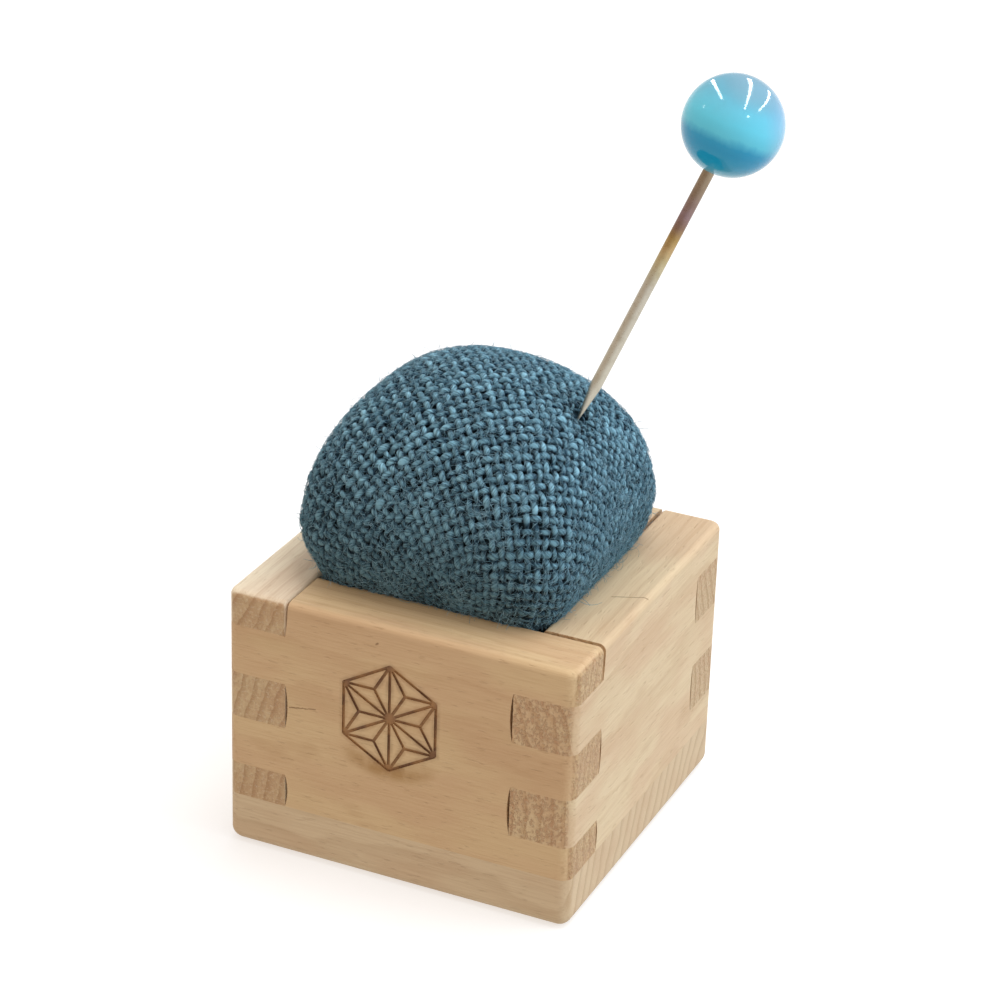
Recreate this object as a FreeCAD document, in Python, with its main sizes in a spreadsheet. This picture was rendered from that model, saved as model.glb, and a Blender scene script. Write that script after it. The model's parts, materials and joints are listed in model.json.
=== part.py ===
import FreeCAD, Part
import math
import os
import re
import Sketcher

# A masu pin cushion: a small finger-jointed cypress box, a linen cushion that fills
# it and domes over its rim, and one glass-headed pin. Millimetres, +Z up. The origin
# is the middle of the box's underside, and the marked front of the box faces -Y.

SIZES = {
    # The box: four finger-jointed walls on a base board.
    "box_side": 30.0,
    "box_height": 22.75,
    "wall_thick": 5.2,
    "base_thick": 4.45,
    # Depths below the rim where one wall's finger ends and its neighbour's begins. The
    # lowest finger ends on the base board.
    "joint_1": 2.95,
    "joint_2": 7.2,
    "joint_3": 11.15,
    "joint_4": 15.4,
    # Each socket's shoulder is sawn slightly hollow, which leaves a thin crescent.
    "hollow": 0.22,
    "corner_round": 1.0,
    "rim_round": 0.6,
    "inner_round": 0.3,
    "foot_round": 1.1,
    # The burnt hemp-leaf star on the front wall.
    "mark_radius": 4.6,
    "mark_width": 0.24,
    "mark_depth": 0.14,
    "mark_shift": -0.65,
    "mark_drop": 7.9,
    # The cushion: a square plug in the box that swells over the rim into a dome.
    "plug_half": 9.7,
    "plug_bottom": 5.05,
    "plug_round": 1.6,
    "dome_half": 11.8,
    "dome_level": 28.2,
    "dome_rise": 11.6,
    "cover_thick": 0.8,
    "stuffing_gap": 0.04,
    "pucker_radius": 1.5,
    "glue_radius": 6.0,
    # The drawn thread that gathers the cover underneath, and its knot.
    "thread_ring": 2.6,
    "thread_radius": 0.18,
    "thread_gap": 0.03,
    "knot_radius": 0.42,
    "knot_height": 0.75,
    # The pin, drawn upright from its point and then leaned over where it stands.
    "bead_radius": 4.0,
    "bead_gap": 0.01,
    "shaft_radius": 0.475,
    "shaft_gap": 0.05,
    "point_length": 4.0,
    "shoulder_radius": 0.395,
    "shoulder_height": 3.0,
    "shaft_exposed": 21.1,
    "shaft_sunk": 1.2,
    "shaft_in_bead": 6.0,
    "push_travel": 19.5,
    # How far the pin's channel runs beyond its deepest point and above the cushion.
    "channel_spare": 0.3,
    "channel_above": 4.0,
    "pin_tilt": 27.4,
    "pin_turn": 46.8,
    "entry_x": 7.9,
    "entry_y": 0.55,
    "entry_z": 36.65,
}
WALLS = ["wall_front", "wall_right", "wall_back", "wall_left"]
RING_POINTS = 32        # points that each of the cushion's sections is drawn through
HEEL = 4.0              # exponent of the cushion's outline on its underside
SHAPED = 7.0            # exponent of the plug's nearly square outline
SWOLLEN = 4.9           # exponent where the dome is widest
ROUND = 2.05            # exponent at the crown

X_AXIS = FreeCAD.Vector(1, 0, 0)
Y_AXIS = FreeCAD.Vector(0, 1, 0)
Z_AXIS = FreeCAD.Vector(0, 0, 1)

doc = FreeCAD.newDocument("PinCushion")
sheet = doc.addObject("Spreadsheet::Sheet", "Sizes")
for row, (alias, number) in enumerate(SIZES.items(), start=1):
    sheet.set(f"A{row}", alias)
    sheet.set(f"B{row}", str(number))
    sheet.setAlias(f"B{row}", alias)
doc.recompute()


def bound(text):
    """The expression, with each alias named as a cell of the sheet."""
    return re.sub(r"[a-z]\w*", lambda word: f"Sizes.{word[0]}" if word[0] in SIZES else word[0], text)


def size(text):
    """The number that an expression in the sheet's aliases gives."""
    return float(sheet.evalExpression(bound(text)))


def primitive(kind, name, **sizes):
    """A Part primitive whose properties are bound to expressions."""
    item = doc.addObject(f"Part::{kind}", name)
    for prop, text in sizes.items():
        item.setExpression(prop.replace("_", "."), bound(text))
    return item


def cut(name, base, tool):
    item = doc.addObject("Part::Cut", name)
    item.Base = base
    item.Tool = tool
    return item


def sketch_on(body, role, name, offset="0"):
    """A sketch on one of the body's own planes, set off along the plane's normal."""
    sketch = body.newObject("Sketcher::SketchObject", name)
    plane = [part for part in body.Origin.OriginFeatures if part.Role == role][0]
    sketch.AttachmentSupport = [(plane, "")]
    sketch.MapMode = "FlatFace"
    sketch.setExpression("AttachmentOffset.Base.z", bound(offset))
    return sketch


def pin_corner(sketch, edge, end, corner):
    """Fix one end of an edge at a pair of expressions, measured from the origin."""
    for kind, text in zip(("DistanceX", "DistanceY"), corner):
        index = sketch.addConstraint(Sketcher.Constraint(kind, -1, 1, edge, end, size(text)))
        sketch.setExpression(f"Constraints[{index}]", bound(text))


def outline(sketch, corners, bulge=None):
    """A closed outline through the corners. The edge numbered in bulge is an arc."""
    points = [FreeCAD.Vector(size(across), size(up), 0) for across, up in corners]
    first = sketch.GeometryCount
    count = len(corners)
    for number, start in enumerate(points):
        end = points[(number + 1) % count]
        if bulge and number == bulge["edge"]:
            sideways = FreeCAD.Vector(size(bulge["reach"]), 0, 0)
            sketch.addGeometry(Part.Arc(start, (start + end) / 2 + sideways, end))
        else:
            sketch.addGeometry(Part.LineSegment(start, end))
    for number in range(count):
        join_ends(sketch, first + number, first + (number + 1) % count)
    for number, corner in enumerate(corners):
        edge = first + number
        if isinstance(sketch.Geometry[edge], Part.LineSegment):
            pin_corner(sketch, edge, 1, corner)
        else:
            pin_corner(sketch, edge - 1, 2, corner)
            fix_radius(sketch, edge, bulge["radius"])


def join_ends(sketch, one, other):
    """Join the two edges at the ends that lie together."""
    ends = [(sketch.getPoint(one, a).distanceToPoint(sketch.getPoint(other, b)), a, b)
            for a in (1, 2) for b in (1, 2)]
    _, a, b = min(ends)
    sketch.addConstraint(Sketcher.Constraint("Coincident", one, a, other, b))


def fix_radius(sketch, edge, text):
    index = sketch.addConstraint(Sketcher.Constraint("Radius", edge, size(text)))
    sketch.setExpression(f"Constraints[{index}]", bound(text))


def pad(body, sketch, name, length):
    feature = body.newObject("PartDesign::Pad", name)
    feature.Profile = sketch
    feature.setExpression("Length", bound(length))
    doc.recompute()
    return feature


def pocket(body, sketch, name, length, backwards):
    """A pocket, which has to take material away."""
    before = body.Shape.Volume
    feature = body.newObject("PartDesign::Pocket", name)
    feature.Profile = sketch
    feature.Reversed = backwards
    feature.setExpression("Length", bound(length))
    doc.recompute()
    if body.Shape.Volume >= before:
        raise ValueError(f"{name} cuts nothing")
    return feature


def round_edges(body, name, radius, wanted):
    """A fillet on each edge of the body for which wanted(edge) is true."""
    edges = [f"Edge{number}" for number, edge in enumerate(body.Shape.Edges, start=1) if wanted(edge)]
    base = body.Tip
    fillet = body.newObject("PartDesign::Fillet", name)
    fillet.Base = (base, edges)
    fillet.setExpression("Radius", bound(radius))
    doc.recompute()
    return fillet


def along(edge, axis):
    """True for a straight edge that runs along the axis."""
    ends = [vertex.Point for vertex in edge.Vertexes]
    if len(ends) != 2 or not isinstance(edge.Curve, Part.Line):
        return False
    return abs((ends[1] - ends[0]).normalize().dot(axis)) > 0.999


def near(value, text):
    return abs(value - size(text)) < 1e-4


# ---- box ---------------------------------------------------------------------------

def socket(sketch, side, upper, lower):
    """One socket at a wall's end: side is -1 or 1, upper and lower are depths."""
    end = f"{side} * (box_side / 2 + 1)"
    shoulder = f"{side} * (box_side / 2 - wall_thick)"
    top = f"box_height - ({upper})"
    low = f"box_height - ({lower})"
    bulge = {
        "edge": 1,
        "reach": f"{-side} * hollow",
        "radius": f"((({lower}) - ({upper})) ^ 2 / 4 + hollow ^ 2) / (2 * hollow)",
    }
    outline(sketch, [(end, top), (shoulder, top), (shoulder, low), (end, low)], bulge)


def top_socket(sketch, side, lower):
    """The socket at the rim. Its shoulder is hollowed most at the rim itself."""
    end = f"{side} * (box_side / 2 + 1)"
    shoulder = f"{side} * (box_side / 2 - wall_thick)"
    above = f"box_height + {lower}"
    low = f"box_height - {lower}"
    bulge = {
        "edge": 1,
        "reach": f"{-side} * hollow",
        "radius": f"({lower} ^ 2 + hollow ^ 2) / (2 * hollow)",
    }
    outline(sketch, [(end, above), (shoulder, above), (shoulder, low), (end, low)], bulge)


def wall(name, turn):
    """A wall, drawn as the front one and turned about Z by quarter turns."""
    body = doc.addObject("PartDesign::Body", name)
    inner_face = "box_side / 2 - wall_thick"
    board = sketch_on(body, "XZ_Plane", f"{name}_board", inner_face)
    right = "box_side / 2"
    outline(board, [("-" + right, "base_thick"), (right, "base_thick"),
                    (right, "box_height"), ("-" + right, "box_height")])
    pad(body, board, f"{name}_blank", "wall_thick")

    sockets = sketch_on(body, "XZ_Plane", f"{name}_sockets", inner_face)
    top_socket(sockets, -1, "joint_1")
    socket(sockets, -1, "joint_2", "joint_3")
    socket(sockets, -1, "joint_4", "box_height - base_thick")
    socket(sockets, 1, "joint_1", "joint_2")
    socket(sockets, 1, "joint_3", "joint_4")
    pocket(body, sockets, f"{name}_fingers", "wall_thick", True)

    round_edges(body, f"{name}_corners", "corner_round", is_outer_corner)
    round_edges(body, f"{name}_rim", "rim_round", is_outer_rim)
    round_edges(body, f"{name}_lip", "inner_round", is_inner_rim)
    body.Placement = FreeCAD.Placement(FreeCAD.Vector(), FreeCAD.Rotation(Z_AXIS, turn))
    return body


def is_outer_corner(edge):
    """The upright edges of the front wall's fingers, on the box's outer corners."""
    middle = edge.CenterOfMass
    return along(edge, Z_AXIS) and near(middle.y, "-box_side / 2") and near(abs(middle.x), "box_side / 2")


def is_outer_rim(edge):
    """The rim's outer edge, along the front and round the finger at its right."""
    middle = edge.CenterOfMass
    if abs(middle.z - size("box_height")) > 1e-4:
        return False
    in_front = middle.y < size("-box_side / 2 + corner_round") + 1e-4
    at_right = middle.x > size("box_side / 2 - corner_round") - 1e-4
    return in_front or at_right


def is_inner_rim(edge):
    middle = edge.CenterOfMass
    on_inner_face = near(middle.y, "-box_side / 2 + wall_thick")
    return along(edge, X_AXIS) and near(middle.z, "box_height") and on_inner_face


def bar(name, middle, heading, length):
    """One burnt line of the star, on the front face, heading counted from +X."""
    item = primitive("Box", name, Length=length, Width="2 * mark_depth", Height="mark_width")
    turned = FreeCAD.Rotation(Y_AXIS, -heading)
    corner = FreeCAD.Vector(-size(length) / 2, -size("mark_depth"), -size("mark_width") / 2)
    item.Placement = FreeCAD.Placement(middle + turned.multVec(corner), turned)
    return item


def star():
    """A hemp-leaf star: a hexagon, its diagonals, and a Y in each of its triangles."""
    centre = FreeCAD.Vector(size("mark_shift"), size("-box_side / 2"), size("box_height - mark_drop"))
    radius = size("mark_radius")
    bars = []

    def place(kind, number, reach, bearing, heading, length):
        angle = math.radians(bearing)
        offset = FreeCAD.Vector(math.cos(angle), 0, math.sin(angle)) * reach
        bars.append(bar(f"{kind}_{number}", centre + offset, heading, length))

    for number in range(3):
        place("diagonal", number, 0, 0, 60 * number + 30, "2 * mark_radius")
    for number in range(6):
        middle = 60 * number
        place("side", number, radius * math.cos(math.pi / 6), middle, middle + 90, "mark_radius")
        place("stem", number, radius / math.sqrt(12), middle, middle, "mark_radius / sqrt(3)")
        for way in (-1, 1):
            # From the triangle's centre to one of its two outer corners.
            tip = FreeCAD.Vector(radius * math.cos(math.pi / 6), way * radius / 2, 0)
            heart = FreeCAD.Vector(radius / math.sqrt(3), 0, 0)
            half = (tip + heart) / 2
            heading = math.degrees(math.atan2(tip.y - heart.y, tip.x - heart.x))
            bearing = middle + math.degrees(math.atan2(half.y, half.x))
            place(f"arm{way + 1}", number, half.Length, bearing, middle + heading, "mark_radius / sqrt(3)")
    lines = doc.addObject("Part::MultiFuse", "mark_lines")
    lines.Shapes = bars
    return lines


def base_board():
    body = doc.addObject("PartDesign::Body", "base_board")
    plan = sketch_on(body, "XY_Plane", "base_plan")
    half = "box_side / 2"
    outline(plan, [("-" + half, "-" + half), (half, "-" + half), (half, half), ("-" + half, half)])
    pad(body, plan, "base_blank", "base_thick")
    round_edges(body, "base_corners", "corner_round", lambda edge: along(edge, Z_AXIS))
    round_edges(body, "base_foot", "foot_round", lambda edge: near(edge.CenterOfMass.z, "0"))
    return body


# ---- cushion -----------------------------------------------------------------------

def ring(half, exponent, level):
    """A closed curve |x|^n + |y|^n = half^n, from a circle at n = 2 to nearly a square."""
    points = []
    for step in range(RING_POINTS):
        angle = 2 * math.pi * (step + 0.5) / RING_POINTS
        across, along_y = math.cos(angle), math.sin(angle)
        reach = half / (abs(across) ** exponent + abs(along_y) ** exponent) ** (1 / exponent)
        points.append(FreeCAD.Vector(reach * across, reach * along_y, level))
    curve = Part.BSplineCurve()
    curve.interpolate(Points=points, PeriodicFlag=True)
    return Part.Wire(curve.toShape())


def cushion_form(inset):
    """The cushion as one closed solid, drawn in by inset on every side."""
    plug = size("plug_half") - inset
    dome = size("dome_half") - inset
    rise = size("dome_rise") - inset
    level = size("dome_level")
    low = size("plug_bottom") + inset
    rim = size("box_height")
    corner = size("plug_round")
    rings = [ring(plug - corner, HEEL, low)]
    for angle in (30, 60, 90):
        swing = math.radians(angle)
        half = plug - corner * (1 - math.sin(swing))
        exponent = HEEL + (SHAPED - HEEL) * angle / 90
        rings.append(ring(half, exponent, low + corner * (1 - math.cos(swing))))
    rings.append(ring(plug, SHAPED, rim))
    for share in (0.3, 0.65, 1.0):
        half = dome - (dome - plug) * (1 - share) ** 2
        rings.append(ring(half, SHAPED + (SWOLLEN - SHAPED) * share, rim + (level - rim) * share))
    for angle in (14, 28, 41, 53, 64, 74, 83):
        swing = math.radians(angle)
        exponent = SWOLLEN + (ROUND - SWOLLEN) * math.sin(swing)
        rings.append(ring(dome * math.cos(swing), exponent, level + rise * math.sin(swing)))
    return Part.makeLoft(rings, True, True)


def pin_axis():
    """The direction from the pin's point to its head."""
    tilt = math.radians(size("pin_tilt"))
    turn = math.radians(size("pin_turn"))
    return FreeCAD.Vector(math.sin(tilt) * math.cos(turn), math.sin(tilt) * math.sin(turn), math.cos(tilt))


def pin_entry():
    return FreeCAD.Vector(size("entry_x"), size("entry_y"), size("entry_z"))


def pin_channel():
    """The way the pin takes through the cushion, to just past its deepest point."""
    depth = size("shaft_sunk + push_travel + channel_spare")
    length = depth + size("channel_above")
    radius = size("shaft_radius + shaft_gap")
    return Part.makeCylinder(radius, length, pin_entry() - pin_axis() * depth, pin_axis())


def feature(name, shape):
    item = doc.addObject("Part::Feature", name)
    item.Shape = shape
    return item


def cushion_cover():
    """The linen skin, gathered to a small hole in the middle of its underside."""
    shell = cushion_form(0).cut(cushion_form(size("cover_thick")))
    below = FreeCAD.Vector(0, 0, size("plug_bottom - cover_thick / 2"))
    pucker = Part.makeCylinder(size("pucker_radius"), size("2 * cover_thick"), below)
    groove = drawn_thread(size("thread_gap"))
    return feature("cushion_cover", shell.cut([pucker, groove, pin_channel()]))


def cushion_stuffing():
    """Wadding that fills the skin."""
    inset = size("cover_thick + stuffing_gap")
    return feature("cushion_stuffing", cushion_form(inset).cut(pin_channel()))


def drawn_thread(gap):
    """The thread's ring and its knot of wound turns, each swollen by gap."""
    level = size("plug_bottom + thread_radius")
    loop = Part.makeTorus(size("thread_ring"), size("thread_radius") + gap, FreeCAD.Vector(0, 0, level))
    foot = FreeCAD.Vector(0, size("thread_ring"), size("plug_bottom") - gap)
    knot = Part.makeCylinder(size("knot_radius") + gap, size("knot_height") + 2 * gap, foot)
    return loop.fuse(knot)


def gathering_thread():
    """The running stitch's thread, drawn into a ring and knotted."""
    return feature("gathering_thread", drawn_thread(0))


def glue_bed():
    """The pad of glue between the base board and the cushion."""
    item = primitive("Cylinder", "glue_bed", Radius="glue_radius", Height="plug_bottom - base_thick")
    item.setExpression("Placement.Base.z", bound("base_thick"))
    return item


# ---- pin ---------------------------------------------------------------------------

def stand_pin(item):
    """Lean a piece drawn upright from the pin's point over to where the pin stands."""
    foot = pin_entry() - pin_axis() * size("shaft_sunk")
    item.Placement = FreeCAD.Placement(foot, FreeCAD.Rotation(Z_AXIS, pin_axis()))


def pin_shaft():
    """A steel shaft with a long point that eases into the shaft at its shoulder."""
    body = doc.addObject("PartDesign::Body", "pin_shaft")
    half = sketch_on(body, "XZ_Plane", "shaft_profile")
    top = "shaft_sunk + shaft_exposed + shaft_in_bead"
    outline(half, [("0", "0"), ("shoulder_radius", "shoulder_height"), ("shaft_radius", "point_length"),
                   ("shaft_radius", top), ("0", top)])
    turned = body.newObject("PartDesign::Revolution", "shaft_turned")
    turned.Profile = half
    turned.ReferenceAxis = (half, ["V_Axis"])
    turned.Angle = 360
    doc.recompute()
    stand_pin(body)
    return body


def pin_head():
    """A glass bead with a blind hole, glued on the shaft's end."""
    ball = primitive("Sphere", "bead_ball", Radius="bead_radius")
    ball.setExpression("Placement.Base.z", bound("shaft_sunk + shaft_exposed + bead_radius"))
    hole = primitive("Cylinder", "bead_hole", Radius="shaft_radius + bead_gap",
                     Height="bead_radius + shaft_in_bead")
    hole.setExpression("Placement.Base.z", bound("shaft_sunk + shaft_exposed - bead_radius"))
    bead = cut("pin_head", ball, hole)
    doc.recompute()
    stand_pin(bead)
    return bead


# ---- assembly ----------------------------------------------------------------------

def check_document():
    for item in doc.Objects:
        if "Invalid" in item.State or "Error" in item.State:
            raise ValueError(f"{item.Name} failed: {item.State}")


def write_parts(pieces):
    os.makedirs("parts", exist_ok=True)
    for piece in pieces:
        if piece.Shape.isNull() or not piece.Shape.isValid():
            raise ValueError(f"{piece.Label} has no valid shape")
        piece.Shape.exportStep(f"parts/{piece.Label}.step")
        print(f"{piece.Label:18} solids {len(piece.Shape.Solids)}  volume {piece.Shape.Volume:9.2f}")


walls = [wall(name, 90 * number) for number, name in enumerate(WALLS)]
walls[0].Label = "front_blank"
marked = cut("front_marked", walls[0], star())
marked.Label = "wall_front"
pieces = [marked] + walls[1:]
pieces += [base_board(), glue_bed(), gathering_thread(), cushion_cover(), cushion_stuffing()]
pieces += [pin_shaft(), pin_head()]
doc.recompute()
check_document()
write_parts(pieces)
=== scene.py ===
import json
import math

import bpy
import bmesh
import numpy as np
from mathutils import Matrix, Vector
from mathutils.bvhtree import BVHTree


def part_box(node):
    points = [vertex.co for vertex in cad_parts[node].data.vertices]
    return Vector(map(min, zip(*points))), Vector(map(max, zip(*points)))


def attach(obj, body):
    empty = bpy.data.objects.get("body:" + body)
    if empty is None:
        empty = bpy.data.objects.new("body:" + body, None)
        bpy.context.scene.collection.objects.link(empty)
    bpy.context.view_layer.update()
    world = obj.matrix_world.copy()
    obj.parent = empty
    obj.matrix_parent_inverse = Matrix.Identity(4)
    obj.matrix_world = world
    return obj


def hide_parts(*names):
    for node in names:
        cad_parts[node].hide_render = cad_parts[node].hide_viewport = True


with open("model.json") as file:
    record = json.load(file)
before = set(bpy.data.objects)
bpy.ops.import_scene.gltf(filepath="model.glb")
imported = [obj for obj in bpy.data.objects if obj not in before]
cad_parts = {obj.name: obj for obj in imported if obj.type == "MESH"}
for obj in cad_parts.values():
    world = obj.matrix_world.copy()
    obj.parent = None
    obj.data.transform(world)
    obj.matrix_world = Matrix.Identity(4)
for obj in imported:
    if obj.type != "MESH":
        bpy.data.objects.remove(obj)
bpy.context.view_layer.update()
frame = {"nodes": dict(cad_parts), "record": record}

# Lengths in this script are in millimetres unless a name says otherwise; Blender's are
# metres. The seed fixes every random draw.
MM = 0.001
rng = np.random.default_rng(7)

SCENE = bpy.context.scene
NODES = frame["nodes"]
JOINT = frame["record"]["behaviour"]["joints"][0]


def node_box(name):
    """A CAD node's lowest and highest corners, in millimetres."""
    low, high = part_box(name)
    return np.array(low) / MM, np.array(high) / MM


WALL_LOW, WALL_HIGH = node_box("wall_front")
COVER_LOW, COVER_HIGH = node_box("cushion_cover")
BEAD_LOW, BEAD_HIGH = node_box("pin_head")

RIM = WALL_HIGH[2]  # height of the box's rim
FRONT = WALL_LOW[1]  # the front face
PLUG = COVER_HIGH[0] - 2.1  # half-width of the cushion inside the box
DOME = COVER_HIGH[0]  # half-width where the dome is widest
LEVEL = RIM + 5.45  # height where it is widest
RISE = COVER_HIGH[2] - LEVEL - 0.25  # from there to the crown, before the cloth swells
FOOT = COVER_LOW[2]  # underside of the cushion
CENTRE = np.array([0.0, 0.0, LEVEL])

PIN_AXIS = np.array(JOINT["axis"]) / np.linalg.norm(JOINT["axis"])
BEAD = (BEAD_LOW + BEAD_HIGH) / 2  # the bead's middle
BEAD_RADIUS = (BEAD_HIGH[2] - BEAD_LOW[2]) / 2
SHAFT_RADIUS = 0.475
SHAFT_EXPOSED = 21.1  # from the cover to the bead
SHAFT_SUNK = 1.2  # how deep the point stands in the cover
SHAFT_IN_BEAD = 6.0
POINT_LENGTH = 4.0
SHOULDER_RADIUS = 0.395  # three quarters of the way up the point
PIN_ENTRY = BEAD - PIN_AXIS * (BEAD_RADIUS + SHAFT_EXPOSED)


# ---- objects -----------------------------------------------------------------------

def linked(name, data):
    """A new object in the scene, made of the data."""
    thing = bpy.data.objects.new(name, data)
    SCENE.collection.objects.link(thing)
    return thing


def new_object(name, vertices, faces, material, body):
    """A smooth mesh piece from millimetre coordinates, riding on a body."""
    mesh = bpy.data.meshes.new(name)
    mesh.from_pydata((np.asarray(vertices) * MM).tolist(), [], faces)
    mesh.polygons.foreach_set("use_smooth", [True] * len(mesh.polygons))
    mesh.materials.append(material)
    piece = linked(name, mesh)
    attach(piece, body)
    return piece


def unit(vectors):
    return vectors / np.maximum(np.linalg.norm(vectors, axis=-1, keepdims=True), 1e-12)


def tube_quads(rings, sides):
    """The faces round a tube, from the numbers of its rings and of each ring's points."""
    ring, side = np.indices((rings - 1, sides))
    after = (side + 1) % sides
    near, far = ring * sides, (ring + 1) * sides
    return np.stack([near + side, near + after, far + after, far + side], -1).reshape(-1, 4)


def lay_flat(piece, corners):
    """Give a piece its own flat map, from the place on it of every face's every corner."""
    flat_map = piece.data.uv_layers.new(name="OFBake")
    flat_map.data.foreach_set("uv", np.concatenate(corners).astype(np.float32).ravel())


# ---- node graphs -------------------------------------------------------------------

def rgb(red, green, blue):
    """A linear colour from sRGB numbers up to 255."""
    shares = [channel / 255 for channel in (red, green, blue)]
    linear = [s / 12.92 if s <= 0.04045 else ((s + 0.055) / 1.055) ** 2.4 for s in shares]
    return (*linear, 1.0)


class Graph:
    """A material's nodes. Each call adds one and returns its output socket."""

    def __init__(self, name):
        self.material = bpy.data.materials.new(name)
        self.material.use_nodes = True
        self.tree = self.material.node_tree
        self.shader = self.tree.nodes["Principled BSDF"]
        # Coordinates in millimetres, in the piece's own frame.
        self.place = self.vector("SCALE", self.add("TexCoord", "Object"), scale=1 / MM)

    def add(self, kind, output=0, inputs=None, **settings):
        node = self.tree.nodes.new("ShaderNode" + kind)
        for key, value in settings.items():
            setattr(node, key, value)
        for key, value in (inputs or {}).items():
            self.feed(node.inputs[key], value)
        return node.outputs[output]

    def feed(self, socket, value):
        if isinstance(value, bpy.types.NodeSocket):
            self.tree.links.new(value, socket)
        else:
            socket.default_value = value

    def math(self, operation, *values, clamp=False):
        return self.add("Math", inputs=dict(enumerate(values)), operation=operation, use_clamp=clamp)

    def total(self, *values):
        result = values[0]
        for value in values[1:]:
            result = self.math("ADD", result, value)
        return result

    def times(self, *values):
        result = values[0]
        for value in values[1:]:
            result = self.math("MULTIPLY", result, value)
        return result

    def minus(self, one, other):
        return self.math("SUBTRACT", one, other)

    def hypot(self, *values):
        return self.math("SQRT", self.total(*[self.math("POWER", value, 2.0) for value in values]))

    def split(self, where):
        """A vector's X, Y and Z."""
        node = self.tree.nodes.new("ShaderNodeSeparateXYZ")
        self.feed(node.inputs[0], where)
        return list(node.outputs)

    def vector(self, operation, *values, scale=None):
        inputs = dict(enumerate(values))
        if scale is not None:
            inputs["Scale"] = scale
        return self.add("VectorMath", inputs=inputs, operation=operation)

    def dot(self, one, other):
        return self.add("VectorMath", "Value", {0: one, 1: other}, operation="DOT_PRODUCT")

    def stretched(self, where, scales, seed=0.0):
        scaled = self.vector("MULTIPLY", where, scales)
        return self.vector("ADD", scaled, (seed, seed * 1.7, seed * 0.6))

    def noise(self, where, scale=1.0, detail=2.0, rough=0.5):
        inputs = {"Vector": where, "Scale": scale, "Detail": detail, "Roughness": rough}
        return self.add("TexNoise", inputs=inputs)

    def swing(self, where, amount, scale=1.0, detail=2.0):
        """Noise centred on nought, times amount."""
        return self.times(self.minus(self.noise(where, scale, detail), 0.5), amount)

    def span(self, value, low, high, to_low=0.0, to_high=1.0):
        """The value mapped smoothly from one range to another."""
        inputs = {0: value, 1: low, 2: high, 3: to_low, 4: to_high}
        return self.add("MapRange", inputs=inputs, interpolation_type="SMOOTHSTEP")

    def mix(self, amount, one, other, blend="MIX"):
        node = self.tree.nodes.new("ShaderNodeMix")
        node.data_type = "RGBA"
        node.blend_type = blend
        self.feed(node.inputs[0], amount)
        self.feed(node.inputs[6], one)
        self.feed(node.inputs[7], other)
        return node.outputs[2]

    def ramp(self, amount, *stops):
        """A colour ramp through (position, colour) stops."""
        node = self.tree.nodes.new("ShaderNodeValToRGB")
        elements = node.color_ramp.elements
        while len(elements) < len(stops):
            elements.new(0.5)
        for element, (position, colour) in zip(elements, stops):
            element.position = position
            element.color = colour if isinstance(colour, tuple) else (colour, colour, colour, 1.0)
        self.feed(node.inputs[0], amount)
        return node.outputs[0]

    def bump(self, height, depth, normal=None):
        """A bump whose height of 1 stands depth millimetres proud."""
        inputs = {"Height": height, "Distance": depth * MM, "Strength": 1.0}
        if normal is not None:
            inputs["Normal"] = normal
        return self.add("Bump", inputs=inputs)

    def done(self, colour, roughness, normal=None, **constants):
        """Feed the shader. Constants are written with _ for the spaces in a socket's name."""
        self.feed(self.shader.inputs["Base Color"], colour)
        self.feed(self.shader.inputs["Roughness"], roughness)
        if normal is not None:
            self.feed(self.shader.inputs["Normal"], normal)
        for key, value in constants.items():
            self.shader.inputs[key.replace("_", " ")].default_value = value
        return self.material


# ---- wood --------------------------------------------------------------------------

def end_grain(g, grain):
    """1 where the surface cuts across the grain, 0 where it runs along it."""
    axis = [0.0, 0.0, 0.0]
    axis[grain] = 1.0
    facing = g.math("ABSOLUTE", g.dot(g.add("NewGeometry", "Normal"), tuple(axis)))
    return g.span(facing, 0.62, 0.9)


def wood_parts(g, grain, thin, pith, seed, torn, spacing=1.15):
    """Growth rings, fibres and end grain of one board, as sockets from 0 to 1.

    grain and thin are the axes along the board's fibres and through its thickness; pith is
    how far off the tree's middle lies, through the board and across it; torn is how rough
    the saw left the end grain, and spacing is from one growth ring to the next.
    """
    place = g.split(g.place)
    length, depth, width = place[grain], place[thin], place[3 - grain - thin]

    def sample(along, sideways, extra=0.0):
        scaled = [g.times(length, along)]
        scaled += [g.times(side, sideways) for side in (depth, width)]
        joined = g.add("CombineXYZ", inputs=dict(enumerate(scaled)))
        return g.vector("ADD", joined, (seed + extra, seed * 2.3, seed * 0.7))

    radius = g.hypot(*[g.minus(side, middle) for side, middle in zip((depth, width), pith)])
    warped = g.total(radius, g.swing(sample(0.05, 0.16), 2.2), g.swing(sample(0.35, 0.9, 5.0), 0.35))
    phase = g.math("FRACT", g.math("DIVIDE", warped, spacing))
    late = g.ramp(phase, (0.0, 0.05), (0.5, 0.12), (0.82, 0.75), (0.93, 1.0), (1.0, 0.05))

    ends = end_grain(g, grain)
    fibres = g.noise(sample(0.22, 7.0), 1.0, 3.0, 0.6)
    dashes = g.span(g.noise(sample(0.75, 5.0, 3.0), 1.0, 1.0), 0.64, 0.74)
    flecks = g.noise(g.stretched(g.place, (3.6, 3.6, 2.4), seed), 1.0, 3.0, 0.65)
    torn_up = g.noise(g.stretched(g.place, (2.6, 2.6, 4.4), seed + 7.0), 1.0, 3.0, 0.7)
    pores = g.noise(g.stretched(g.place, (11.0, 11.0, 11.0), seed), 1.0, 2.0)
    patches = g.noise(sample(0.09, 0.22, 9.0), 1.0, 2.0)
    return {
        "late": late, "ends": ends, "fibres": fibres, "dashes": dashes,
        "flecks": g.times(g.span(flecks, 0.45, 0.62), torn),
        "torn_up": g.times(g.span(torn_up, 0.54, 0.62), torn),
        "pores": pores, "patches": patches,
    }


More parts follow.
